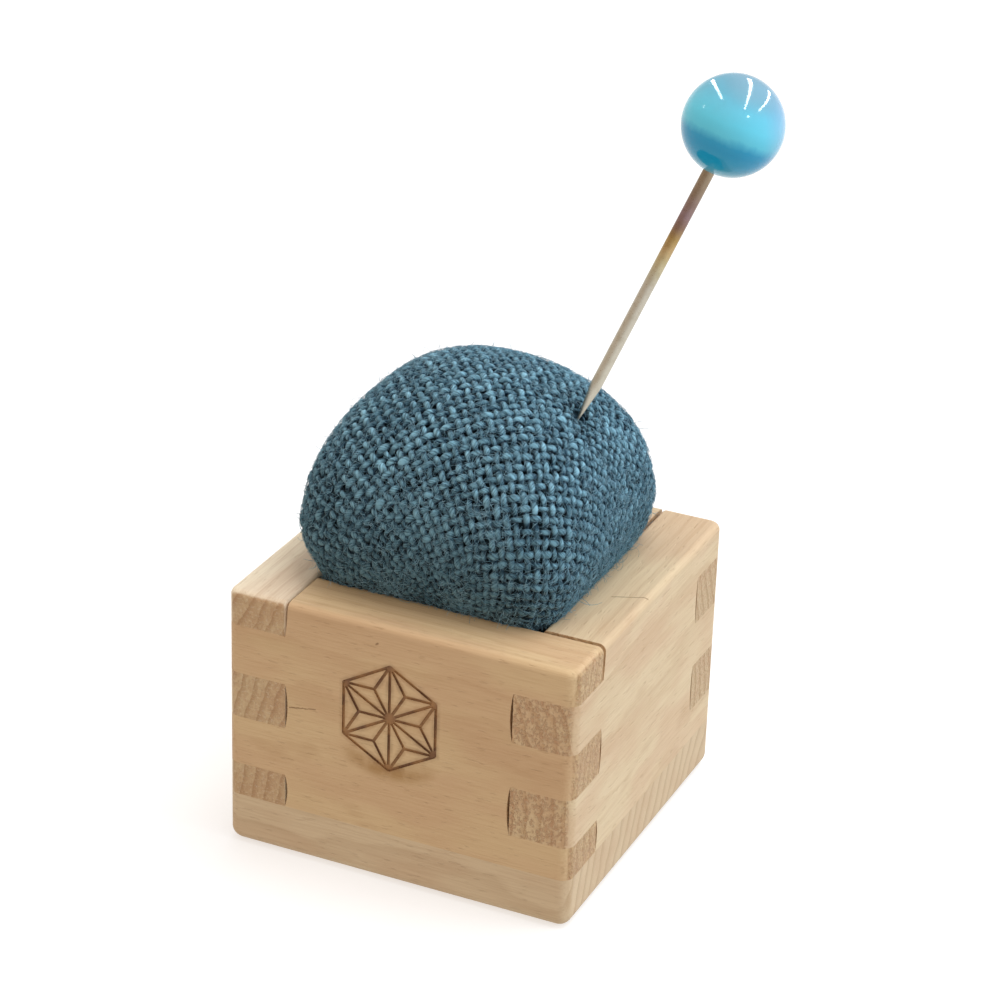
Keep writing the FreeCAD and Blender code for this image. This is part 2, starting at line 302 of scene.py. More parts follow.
def wood_colour(g, parts, pale, dark, rosy, end_tone, end_rings=0.52):
    """The board's colour before any mark, crack or wear."""
    faces = g.minus(1.0, parts["ends"])
    ring_share = g.times(parts["late"], g.span(parts["ends"], 0.0, 1.0, 0.20, end_rings))
    colour = g.mix(ring_share, pale, dark)
    colour = g.mix(g.span(parts["patches"], 0.42, 0.62, 0.0, 0.6), colour, g.mix(0.5, colour, rosy))
    streak = g.times(faces, g.span(parts["fibres"], 0.35, 0.7, 0.0, 0.16))
    colour = g.mix(streak, colour, dark)
    colour = g.mix(g.times(parts["dashes"], 0.14, faces), colour, dark)
    ended = g.mix(1.0, colour, end_tone, "MULTIPLY")
    dented = g.total(g.times(parts["flecks"], 0.6), g.span(parts["pores"], 0.4, 0.7, 0.0, 0.2))
    ended = g.mix(dented, ended, g.mix(0.65, dark, rosy))
    ended = g.mix(g.times(parts["torn_up"], 0.42), ended, pale)
    return g.mix(parts["ends"], colour, ended)


def wood_normal(g, parts):
    faces = g.minus(1.0, parts["ends"])
    along = g.total(parts["fibres"], g.times(parts["dashes"], -0.8))
    across = g.total(g.times(parts["flecks"], -2.0), g.times(parts["pores"], 0.5),
                     g.times(parts["late"], 0.6))
    height = g.total(g.times(faces, along), g.times(parts["ends"], across))
    return g.bump(height, 0.035)


def segment(g, one, other, start, end, width):
    """1 on a wandering line between two points of a plane, fading to 0 at width from it."""
    run = (end[0] - start[0], end[1] - start[1])
    squared = run[0] ** 2 + run[1] ** 2
    wander = g.swing(g.place, width * 2.5, 3.0, 2.0)
    across = g.total(g.minus(one, start[0]), wander)
    up = g.total(g.minus(other, start[1]), wander)
    share = g.total(g.times(across, run[0] / squared), g.times(up, run[1] / squared))
    share = g.math("MINIMUM", g.math("MAXIMUM", share, 0.0), 1.0)
    gap = [g.minus(side, g.times(share, step)) for side, step in zip((across, up), run)]
    return g.span(g.hypot(*gap), 0.0, width, 1.0, 0.0)


# The burnt star on the front face.
MARK_RADIUS = 4.6
MARK_X = -0.65
MARK_Z = RIM - 7.9


def mark_distance(g):
    """Distance in the front face from the star's nearest line, from its middle, and above it."""
    across, _, up = g.split(g.vector("SUBTRACT", g.place, (MARK_X, 0.0, MARK_Z)))
    radius = g.hypot(across, up)
    # The star repeats every sixth of a turn and mirrors, so the angle is folded.
    turn = g.math("ARCTAN2", up, across)
    folded = g.math("PINGPONG", g.math("ADD", turn, 4 * math.pi), math.pi / 6)
    x = g.times(radius, g.math("COSINE", folded))
    y = g.times(radius, g.math("SINE", folded))
    edge = MARK_RADIUS * math.cos(math.pi / 6)
    heart = MARK_RADIUS / math.sqrt(3)
    diagonal = g.minus(g.times(x, 0.5), g.times(y, math.cos(math.pi / 6)))
    side = g.minus(x, edge)
    stem = g.total(y, g.math("MAXIMUM", g.minus(x, heart), 0.0))
    slope = math.atan2(MARK_RADIUS / 2, edge - heart)
    arm = g.minus(g.times(g.minus(x, heart), math.sin(slope)), g.times(y, math.cos(slope)))
    beyond = g.math("MAXIMUM", side, 0.0)
    nearest = g.math("MINIMUM", stem, g.math("ABSOLUTE", side))
    for line in (diagonal, arm):
        nearest = g.math("MINIMUM", nearest, g.math("ADD", g.math("ABSOLUTE", line), beyond))
    return nearest, radius, up


def burnt(g, colour, front):
    """Scorch the star's grooves, and the wood beside them, more below than above."""
    nearest, radius, up = mark_distance(g)
    depth = g.minus(g.split(g.place)[1], front)
    sunk = g.span(depth, 0.01, 0.06)
    on_face = g.span(depth, 0.16, 0.3, 1.0, 0.0)
    inside = g.span(radius, MARK_RADIUS + 0.3, MARK_RADIUS + 0.7, 1.0, 0.0)
    uneven = g.noise(g.place, 0.9, 3.0)
    line = g.times(g.span(nearest, 0.06, 0.2, 1.0, 0.0), g.span(uneven, 0.3, 0.6, 0.55, 1.0))
    halo = g.times(g.span(nearest, 0.1, 0.5, 1.0, 0.0), g.span(uneven, 0.36, 0.66, 0.15, 0.5))
    below = g.math("ADD", up, MARK_RADIUS + 0.15)
    beside = g.times(g.minus(radius, MARK_RADIUS), 1.2)
    soot = g.span(g.hypot(below, beside), 0.2, 2.0, 1.0, 0.0)
    soot = g.times(soot, g.span(uneven, 0.3, 0.6, 0.45, 0.8))
    marked = g.times(g.math("MAXIMUM", line, halo), inside, on_face)
    marked = g.math("MAXIMUM", marked, g.times(sunk, inside, on_face))
    colour = g.mix(g.times(soot, on_face), colour, rgb(172, 132, 80))
    cloud = g.span(g.noise(g.place, 0.55, 2.0), 0.38, 0.62)
    scorched = g.mix(cloud, rgb(118, 78, 50), rgb(168, 124, 80))
    return g.mix(g.times(marked, 0.92), colour, scorched)


PALE = rgb(228, 206, 171)
DARK = rgb(172, 128, 82)
ROSY = rgb(205, 160, 128)
# The front wall's warmer, darker copy of the wood is painted shade of the dim warm light in front.
SHADED_FRONT_PALE = rgb(226, 198, 156)
SHADED_FRONT_DARK = rgb(172, 128, 84)
END_TONE = rgb(236, 232, 226)  # tints the end grain


def planed(g, parts, colour):
    """Finish a board's material with its roughness and relief."""
    rough = g.span(parts["fibres"], 0.3, 0.7, 0.5, 0.62)
    return g.done(colour, rough, wood_normal(g, parts), Specular_IOR_Level=0.35)


def wall_wood(name, grain, seed, pith, torn, pale=PALE, dark=DARK, end_tone=END_TONE, cracks=(),
              mark=False):
    """Hinoki for one wall.

    Each crack is a line on one face: the face's two axes, the line's start, end and width,
    then the axis that the face is square to and the face's place on it.
    """
    g = Graph(name)
    parts = wood_parts(g, grain, 1 - grain, pith, seed, torn)
    colour = wood_colour(g, parts, pale, dark, ROSY, end_tone)
    if mark:
        colour = burnt(g, colour, FRONT)
    place = g.split(g.place)
    for (one, other), start, end, width, square_to, level in cracks:
        off_face = g.math("ABSOLUTE", g.minus(place[square_to], level))
        line = segment(g, place[one], place[other], start, end, width)
        crack = g.times(line, g.span(off_face, 0.05, 0.3, 1.0, 0.0), 0.75)
        colour = g.mix(crack, colour, rgb(120, 82, 50))
    return planed(g, parts, colour)


def base_wood():
    """The base board, whose fibres run along X and show steep rings on its ends."""
    g = Graph("base_wood")
    parts = wood_parts(g, 0, 2, (-16.0, 42.0), 41.0, 0.08, spacing=1.5)
    pale, dark, rosy = rgb(224, 202, 169), rgb(160, 122, 84), rgb(203, 168, 134)
    colour = wood_colour(g, parts, pale, dark, rosy, rgb(250, 248, 246), 0.38)
    return planed(g, parts, colour)


# ---- the other materials -----------------------------------------------------------

def attribute(g, name):
    return g.add("Attribute", "Fac", attribute_name=name)


def yarn_material(name, dark, light, deep):
    """Dyed linen yarn: loosely twisted fibres, with painted light on the yarns' tops where the weave
    stands proud.
    """
    g = Graph(name)
    along, around, tint = attribute(g, "along"), attribute(g, "around"), attribute(g, "tint")
    twist = g.total(g.times(along, 0.8), around)
    plies = g.span(g.math("SINE", g.times(twist, 4 * math.pi)), -1.0, 0.6)
    strand = g.add("CombineXYZ", inputs={
        0: g.times(along, 1.3),
        1: g.times(g.total(g.times(along, 0.9), around), 11.0),
        2: g.times(tint, 60.0),
    })
    fibres = g.noise(strand, 1.0, 2.0, 0.6)
    patch = g.noise(g.place, 0.35, 3.0, 0.6)
    fleck = g.noise(g.place, 2.1, 2.0, 0.5)
    # Painted light: paler towards each yarn's top and where it lies over its neighbour, darker on its
    # sides.
    painted_crest_light = g.span(attribute(g, "crest"), 0.70, 1.10)
    shade = g.total(
        g.times(painted_crest_light, 0.33),
        g.times(g.span(fibres, 0.40, 0.62), g.total(painted_crest_light, 0.35), 0.62),
        g.times(plies, 0.08),
        g.span(fleck, 0.38, 0.66, -0.12, 0.2),
        g.times(tint, 0.10),
    )
    colour = g.mix(shade, dark, light)
    colour = g.mix(g.span(patch, 0.4, 0.66, 0.0, 0.3), colour, deep)
    level = g.split(g.place)[2]
    # Painted shade: the yarns darken from high on the dome down towards the rim.
    colour = g.mix(g.span(level, RIM, LEVEL + 7.0, 0.58, 0.0), colour, rgb(25, 49, 57))
    # Painted shade darkens the yarns where they leave the box.
    colour = g.mix(g.span(level, RIM - 0.3, RIM + 1.5, 0.75, 0.0), colour, rgb(9, 18, 22))
    height = g.total(g.times(plies, 0.5), g.times(fibres, 0.8))
    return g.done(colour, 0.85, g.bump(height, 0.07), Specular_IOR_Level=0.2, Sheen_Weight=0.1,
                  Sheen_Roughness=0.5)


def cloth_material(name, dark, light):
    """Mottled cloth: the dark backing under the yarns, whose colour is painted shade seen through the
    gaps of the weave, and the paler loose fibres.
    """
    g = Graph(name)
    grain = g.noise(g.place, 4.5, 3.0, 0.7)
    blotch = g.noise(g.place, 0.5, 2.0)
    colour = g.mix(g.span(g.total(grain, g.times(blotch, 0.4)), 0.5, 0.95), dark, light)
    return g.done(colour, 0.95, g.bump(grain, 0.06), Specular_IOR_Level=0.15)


def glue_material():
    """Dried white glue, yellowed in its thicker parts."""
    g = Graph("dried_glue")
    cloud = g.noise(g.place, 0.9, 3.0)
    pimple = g.noise(g.place, 5.0, 2.0)
    colour = g.mix(g.span(cloud, 0.35, 0.7), rgb(225, 212, 176), rgb(196, 170, 112))
    return g.done(colour, g.span(pimple, 0.3, 0.7, 0.25, 0.4), g.bump(pimple, 0.04))


def thread_material():
    """White drawn thread, with the slant of its twist."""
    g = Graph("cotton_thread")
    x, y, z = g.split(g.place)
    slant = g.total(g.math("ARCTAN2", y, x), g.times(z, 0.8))
    twist = g.math("SINE", g.times(slant, 60.0))
    hair = g.noise(g.place, 6.0, 2.0)
    colour = g.mix(g.span(g.total(twist, hair), -0.6, 1.5), rgb(176, 168, 150), rgb(232, 228, 216))
    return g.done(colour, 0.8, g.bump(twist, 0.03), Sheen_Weight=0.2)


TINT_RUN = 21.0  # how far down the shaft its colours are laid out


def steel_material():
    """Nickel-plated steel, tinted by the flame that set the bead on it."""
    g = Graph("pin_steel")
    mouth = tuple(BEAD - PIN_AXIS * BEAD_RADIUS)
    from_bead = g.dot(g.vector("SUBTRACT", g.place, mouth), tuple(-PIN_AXIS))
    wavering = g.total(from_bead, g.swing(g.place, 0.9, 0.8))
    share = g.math("DIVIDE", wavering, TINT_RUN)
    tint = g.ramp(
        share,
        (0.0, rgb(150, 134, 112)), (0.10, rgb(138, 120, 104)), (0.18, rgb(137, 114, 116)),
        (0.23, rgb(136, 110, 94)), (0.275, rgb(164, 137, 87)), (0.32, rgb(178, 152, 110)),
        (0.365, rgb(184, 170, 132)), (0.42, rgb(181, 173, 150)), (0.48, rgb(184, 178, 164)),
        (1.0, rgb(189, 184, 169)),
    )
    drawn = g.noise(g.place, 7.0, 3.0)
    film = g.noise(g.place, 1.3, 2.0)
    dulled = g.mix(1.0, tint, rgb(205, 196, 178), "MULTIPLY")
    colour = g.mix(g.span(film, 0.45, 0.75, 0.0, 0.3), tint, dulled)
    rough = g.span(drawn, 0.3, 0.7, 0.26, 0.42)
    return g.done(colour, rough, g.bump(drawn, 0.006), Metallic=0.92)


def bead_material():
    """Cat's-eye glass: pale above a slanting boundary as painted light from above, deep blue below it
    as painted shade.
    """
    g = Graph("cats_eye_glass")
    across = unit(np.array([0.220, 0.299, 0.929]))
    from_middle = g.vector("SUBTRACT", g.place, tuple(BEAD))
    height = g.math("DIVIDE", g.dot(from_middle, tuple(across)), BEAD_RADIUS)
    along = unit(np.cross(across, PIN_AXIS))
    over = g.vector("MULTIPLY", from_middle, tuple(0.25 + 1.4 * np.abs(along)))
    streak = g.noise(over, 0.7, 3.0, 0.6)
    level = g.total(height, g.times(g.minus(streak, 0.5), 0.22))
    # Painted light on the upper part, painted shade below the boundary and a painted reflection at the
    # lowest edge.
    colour = g.ramp(
        g.times(g.math("ADD", level, 1.0), 0.5),
        (0.0, rgb(96, 212, 250)), (0.14, rgb(36, 180, 234)), (0.28, rgb(18, 166, 222)),
        (0.345, rgb(30, 170, 224)), (0.43, rgb(99, 217, 250)), (0.56, rgb(108, 223, 255)),
        (0.68, rgb(112, 211, 242)), (0.80, rgb(110, 189, 218)), (1.0, rgb(100, 162, 190)),
    )
    outward = g.vector("SCALE", from_middle, scale=1 / BEAD_RADIUS)
    # It turns lavender towards one side in a painted reflection, and greyer near the top.
    beside = g.span(g.dot(outward, (0.907, 0.420, 0.030)), 0.45, 1.0, 0.0, 0.5)
    colour = g.mix(beside, colour, rgb(150, 180, 224))
    above = g.span(g.dot(outward, (0.45, -0.05, 0.89)), 0.72, 0.98, 0.0, 0.55)
    colour = g.mix(above, colour, rgb(138, 172, 192))
    return g.done(colour, 0.12, None, Coat_Weight=0.5, Coat_Roughness=0.02, Specular_IOR_Level=0.1)


# ---- the cushion's form ------------------------------------------------------------

SHAPED, SWOLLEN, ROUND = 12.0, 4.9, 2.05  # superellipse powers: in the box, widest, crown
PLUG_ROUND = 1.6
YARN_THICK = 0.2  # half a yarn's thickness, and its crimp

# The cloth simulation that blows the cover out of the box.
SCALE_UP = 20.0  # the solver works on a cushion this much larger
DRAWN_IN = 0.25  # how far inside its form the cover starts
SWELL = 0.45  # how far the pressure may push it out
PRESSURE = 1200.0
FRAMES = 20


def half_and_power(height):
    """Half-width and superellipse power of the cushion's section at each height."""
    up = np.clip((height - LEVEL) / RISE, 0.0, 0.99999)
    down = np.clip((LEVEL - height) / (LEVEL - RIM), 0.0, 1.0)
    half = np.where(height >= LEVEL, DOME * np.sqrt(1 - up ** 2), DOME - (DOME - PLUG) * down ** 2)
    heel = np.clip(FOOT + PLUG_ROUND - height, 0.0, PLUG_ROUND)
    half = half - (PLUG_ROUND - np.sqrt(PLUG_ROUND ** 2 - heel ** 2))
    above, below = SWOLLEN + (ROUND - SWOLLEN) * up, SWOLLEN + (SHAPED - SWOLLEN) * down
    power = np.where(height >= LEVEL, above, below)
    return half, power


def reach(directions):
    """Distance from CENTRE to the cushion's surface along unit directions, by bisection."""
    near = np.zeros(len(directions))
    far = np.full(len(directions), 40.0)
    for _ in range(40):
        middle = (near + far) / 2
        point = directions * middle[:, None]
        height = point[:, 2] + LEVEL
        half, power = half_and_power(height)
        size = (np.abs(point[:, 0]) ** power + np.abs(point[:, 1]) ** power) ** (1 / power)
        inside = (size < half) & (height < LEVEL + RISE) & (height > FOOT)
        near = np.where(inside, middle, near)
        far = np.where(inside, far, middle)
    return (near + far) / 2


def pillow_mesh(cuts):
    """A cube subdivided and blown out to the cushion's surface."""
    bm = bmesh.new()
    bmesh.ops.create_cube(bm, size=2.0)
    bmesh.ops.subdivide_edges(bm, edges=bm.edges[:], cuts=cuts, use_grid_fill=True)
    corners = np.array([vertex.co for vertex in bm.verts])
    directions = unit(np.tan(corners * math.pi / 4))
    points = CENTRE + directions * reach(directions)[:, None]
    faces = [[vertex.index for vertex in face.verts] for face in bm.faces]
    bm.free()
    return points, faces


def swollen(points, faces):
    """The cover after a cloth simulation blows a larger copy of it out of the box."""
    above = points[:, 2] - RIM
    grip = np.clip((-0.1 - above) / 0.5, 0.0, 1.0)
    start = points - unit(points - CENTRE) * (DRAWN_IN * np.clip(above / 3.0, 0.0, 1.0))[:, None]
    mesh = bpy.data.meshes.new("swelling")
    mesh.from_pydata(((start - CENTRE) * MM * SCALE_UP).tolist(), [], faces)
    shell = linked("swelling", mesh)
    held = shell.vertex_groups.new(name="held")
    for index in np.flatnonzero(grip):
        held.add([int(index)], float(grip[index]), "REPLACE")
    cloth = shell.modifiers.new("cloth", "CLOTH")
    fabric = cloth.settings
    fabric.quality = 6
    fabric.mass = 0.1
    fabric.tension_stiffness = 5
    fabric.compression_stiffness = 5
    fabric.bending_stiffness = 0.5
    fabric.use_pressure = True
    fabric.uniform_pressure_force = PRESSURE
    fabric.vertex_group_mass = "held"
    fabric.effector_weights.gravity = 0.0
    cloth.point_cache.frame_end = FRAMES
    for number in range(1, FRAMES + 1):
        SCENE.frame_set(number)
    blown = shell.evaluated_get(bpy.context.evaluated_depsgraph_get())
    final = np.array([vertex.co for vertex in blown.data.vertices]) / (MM * SCALE_UP) + CENTRE
    SCENE.frame_set(1)
    bpy.data.objects.remove(shell)
    bpy.data.meshes.remove(mesh)
    moved = final - start
    length = np.linalg.norm(moved, axis=1, keepdims=True)
    return start + moved * np.minimum(1.0, SWELL / np.maximum(length, 1e-9))


def on_sphere(polar, bearing):
    """Unit vectors from angles off straight up and round it."""
    level = np.sin(polar)
    return np.stack([level * np.cos(bearing), level * np.sin(bearing), np.cos(polar)], -1)


class Surface:
    """The cushion's surface as a distance from CENTRE for every direction."""

    RINGS, SPOKES = 200, 360

    def __init__(self, points, faces):
        tree = BVHTree.FromPolygons(points.tolist(), faces)
        self.top = math.radians(160)
        polar = np.linspace(0, self.top, self.RINGS)
        bearing = np.arange(self.SPOKES) * 2 * math.pi / self.SPOKES
        polar, bearing = np.meshgrid(polar, bearing, indexing="ij")
        rays = on_sphere(polar, bearing)
        middle = Vector(CENTRE)
        self.grid = np.zeros(polar.shape)
        for index in np.ndindex(*polar.shape):
            self.grid[index] = tree.ray_cast(middle, Vector(rays[index]))[3]

    def place(self, points):
        """The points moved along their lines from CENTRE onto the surface."""
        rays = unit(points - CENTRE)
        polar = np.arccos(np.clip(rays[..., 2], -1, 1)) / self.top * (self.RINGS - 1)
        turn = (np.arctan2(rays[..., 1], rays[..., 0]) % (2 * math.pi)) / (2 * math.pi) * self.SPOKES
        ring = np.clip(polar.astype(int), 0, self.RINGS - 2)
        spoke = turn.astype(int) % self.SPOKES
        after = (spoke + 1) % self.SPOKES
        down = np.clip(polar - ring, 0, 1)
        on = turn - np.floor(turn)
        grid = self.grid
        low = grid[ring, spoke] * (1 - on) + grid[ring, after] * on
        high = grid[ring + 1, spoke] * (1 - on) + grid[ring + 1, after] * on
        far = low * (1 - down) + high * down
        return CENTRE + rays * far[..., None]


# ---- the weave ---------------------------------------------------------------------

COLUMN_PITCH, ROW_PITCH = 0.92, 0.80  # between warp yarns, and between weft yarns
WARP_HALF, WEFT_HALF = 0.225, 0.245  # half a yarn's width
WEAVE_TURN = math.radians(39)  # how far the weave is turned in the box
CLOTH_HALF = 31.0  # half the cloth square's side
DRAPE = 12.6  # radius of the ball that the net starts on
TUCK = 2.6  # how far the yarns run down inside the box
RELAXED = 300  # rounds of relaxing the net


def wrapped_net(surface):
    """The weave's crossings, relaxed over the cushion so that every cell keeps its size."""
    pitch = (COLUMN_PITCH, ROW_PITCH)
    counts = [int(CLOTH_HALF / p) for p in pitch]
    ranges = [np.arange(-n, n + 1) * p for n, p in zip(counts, pitch)]
    flat = np.stack(np.meshgrid(*ranges, indexing="ij"), -1)
    cos, sin = math.cos(WEAVE_TURN), math.sin(WEAVE_TURN)
    x = flat[..., 0] * cos - flat[..., 1] * sin
    y = flat[..., 0] * sin + flat[..., 1] * cos
    away = np.hypot(x, y)
    polar = np.minimum(away / DRAPE, math.radians(140))
    net = surface.place(CENTRE + on_sphere(polar, np.arctan2(y, x)))
    diagonal = math.hypot(*pitch)
    links = [
        (np.s_[:-1, :], np.s_[1:, :], pitch[0], True),
        (np.s_[:, :-1], np.s_[:, 1:], pitch[1], True),
        (np.s_[:-1, :-1], np.s_[1:, 1:], diagonal, False),
        (np.s_[1:, :-1], np.s_[:-1, 1:], diagonal, False),
    ]
    for _ in range(RELAXED):
        push = np.zeros_like(net)
        weight = np.zeros(net.shape[:2] + (1,))
        for one, other, rest, yarn in links:
            step = net[other] - net[one]
            length = np.linalg.norm(step, axis=-1, keepdims=True)
            if yarn:
                # A yarn can't stretch, may crowd to 0.72 of its pitch, and leans towards it.
                error = length - np.clip(length, rest * 0.72, rest) - 0.06 * (rest - length)
                share = 1.0
            else:
                share = 0.15
                error = (length - rest) * share
            pull = error * step / np.maximum(length, 1e-9) * 0.5
            push[one] += pull
            push[other] -= pull
            weight[one] += share
            weight[other] += share
        net = surface.place(net + push / weight * 1.3)
    return net


def net_normals(net):
    along = np.gradient(net, axis=0)
    across = np.gradient(net, axis=1)
    normals = unit(np.cross(along, across))
    outward = np.sign(np.sum(normals * (net - CENTRE), axis=-1, keepdims=True))
    return normals * np.where(outward == 0, 1.0, outward)


def smooth_noise(count, spacing):
    """Random numbers along a yarn, eased between one draw and the next."""
    draws = rng.standard_normal(int(count / spacing) + 3)
    at = np.arange(count) / spacing
    low = at.astype(int)
    part = at - low
    part = part * part * (3 - 2 * part)
    return draws[low] * (1 - part) + draws[low + 1] * part


def through(values, steps):
    """A Catmull-Rom curve through the values, with steps samples to each span."""
    padded = np.concatenate([2 * values[:1] - values[1:2], values, 2 * values[-1:] - values[-2:-1]])
    before, start, end, after = padded[:-3], padded[1:-2], padded[2:-1], padded[3:]
    share = (np.arange(steps) / steps).reshape((1, steps) + (1,) * (values.ndim - 1))
    before, start, end, after = (each[:, None] for each in (before, start, end, after))
    curve = 0.5 * (2 * start + (end - before) * share
                   + (2 * before - 5 * start + 4 * end - after) * share ** 2
                   + (3 * start - before - 3 * end + after) * share ** 3)
    return np.concatenate([curve.reshape((-1,) + values.shape[1:]), values[-1:]])


STEPS, SIDES = 6, 8  # samples to each cell of the weave, and round a yarn
PIN_CLEARANCE = 0.16  # from the pin's side to the middle of a yarn


def from_pin(points):
    """Vectors from the pin's axis to the points, and how near each is to the entry along it."""
    from_entry = points - PIN_ENTRY
    along = from_entry @ PIN_AXIS
    return from_entry - along[..., None] * PIN_AXIS, np.exp(-(along / 6.0) ** 2)


def parted(points, clear):
    """The points moved aside so that the pin goes through without touching them."""
    aside, fade = from_pin(points)
    away = np.maximum(np.linalg.norm(aside, axis=-1), 0.05)
    moved = (away ** 3 + (clear * fade) ** 3) ** (1 / 3)
    return points + aside * ((moved - away) / away)[..., None]


def yarn_tube(nodes, normals, parity, half_width):
    """One yarn's rings of points, how far along each lies, and how high each point stands."""
    count = (len(nodes) - 1) * STEPS + 1
    centre = through(nodes, STEPS)
    up = unit(through(normals, STEPS))
    cell = np.arange(count) / STEPS
    wave = np.cos(math.pi * (cell + parity))
    height = wave * (1 + 0.15 * smooth_noise(count, STEPS * 1.3))
    height = height + 0.16 * smooth_noise(count, STEPS * 1.1)
    centre = centre + up * (YARN_THICK * height)[:, None]
    ahead = unit(np.gradient(centre, axis=0))
    side = unit(np.cross(ahead, up))
    centre = centre + side * (0.07 * smooth_noise(count, STEPS * 1.4))[:, None]
    centre = parted(centre, SHAFT_RADIUS + PIN_CLEARANCE)
    up = unit(np.cross(side, ahead))
    # The yarns beside the pin are squeezed narrower.
    aside, fade = from_pin(centre)
    squeezed = 1 - 0.8 * fade * np.exp(-(np.linalg.norm(aside, axis=1) / 1.2) ** 2)
    slub = 1 + 0.14 * smooth_noise(count, STEPS * 2.5) + 0.07 * smooth_noise(count, STEPS * 0.7)
    slub = np.clip(slub, 0.65, 1.35)
    # A yarn spreads where it lies over its neighbour and rounds where it dives.
    width = half_width * slub * (1 + 0.12 * wave) * squeezed
    thick = YARN_THICK * slub * (1 - 0.05 * wave) * squeezed
    angle = -math.pi / 2 + np.arange(SIDES) * 2 * math.pi / SIDES
    ring = (side[:, None] * (width[:, None] * np.cos(angle))[..., None]
            + up[:, None] * (thick[:, None] * np.sin(angle))[..., None])
    length = np.concatenate([[0], np.cumsum(np.linalg.norm(np.diff(centre, axis=0), axis=1))])
    crest = (height[:, None] + slub[:, None] * np.sin(angle) + 2) / 4
    return centre[:, None] + ring, length, crest


def runs_above(heights, floor):
    """The stretches of a yarn that stay above a height, each at least three crossings long."""
    above = np.concatenate([[False], heights > floor, [False]])
    edges = np.flatnonzero(np.diff(above.astype(int)))
    return [(start, end) for start, end in zip(edges[::2], edges[1::2]) if end - start >= 3]


def yarns(net, normals, axis, half_width):
    """Every yarn that runs along one axis of the net, each with its middle crossing's index."""
    made = []
    for line in range(1, net.shape[1 - axis] - 1):
        nodes = net[:, line] if axis == 0 else net[line]
        ups = normals[:, line] if axis == 0 else normals[line]
        for start, end in runs_above(nodes[:, 2], RIM - TUCK):
            parity = (line + start + axis) % 2
            tube = yarn_tube(nodes[start:end], ups[start:end], parity, half_width)
            made.append(tube + (rng.random(),))
    return made


def yarn_piece(name, tubes, material):
    """A group of yarns as one mesh, with its attributes and its own flat map."""
    points, faces, along, around, crest, tint, flat = [], [], [], [], [], [], []
    offset = 0
    longest = max(tube[1][-1] for tube in tubes)
    for number, (rings, length, heights, shade) in enumerate(tubes):
        count = len(rings)
        points.append(rings.reshape(-1, 3))
        along.append(np.repeat(length, SIDES))
        around.append(np.tile(np.arange(SIDES) / SIDES, count))
        crest.append(heights.ravel())
        tint.append(np.full(count * SIDES, shade))
        faces.append(offset + tube_quads(count, SIDES))
        ring, side = np.indices((count - 1, SIDES))
        low, high = ((number + (side + part) / SIDES) / len(tubes) for part in (0.1, 0.9))
        left, right = length[ring] / longest, length[ring + 1] / longest
        corners = np.stack([np.stack([left, low], -1), np.stack([left, high], -1),
                            np.stack([right, high], -1), np.stack([right, low], -1)], -2)
        flat.append(corners.reshape(-1, 2))
        for end, order in ((0, -1), (count - 1, 1)):
            faces.append([offset + end * SIDES + np.arange(SIDES)[::order]])
            flat.append(np.tile([[length[end] / longest, (number + 0.5) / len(tubes)]], (SIDES, 1)))
        offset += count * SIDES
    face_list = [list(map(int, face)) for group in faces for face in group]
    piece = new_object(name, np.concatenate(points), face_list, material, "box")
    mesh = piece.data
    for key, values in (("along", along), ("around", around), ("crest", crest), ("tint", tint)):
        mesh.attributes.new(key, "FLOAT", "POINT").data.foreach_set("value", np.concatenate(values))
    lay_flat(piece, flat)
    return piece


# ---- fuzz --------------------------------------------------------------------------

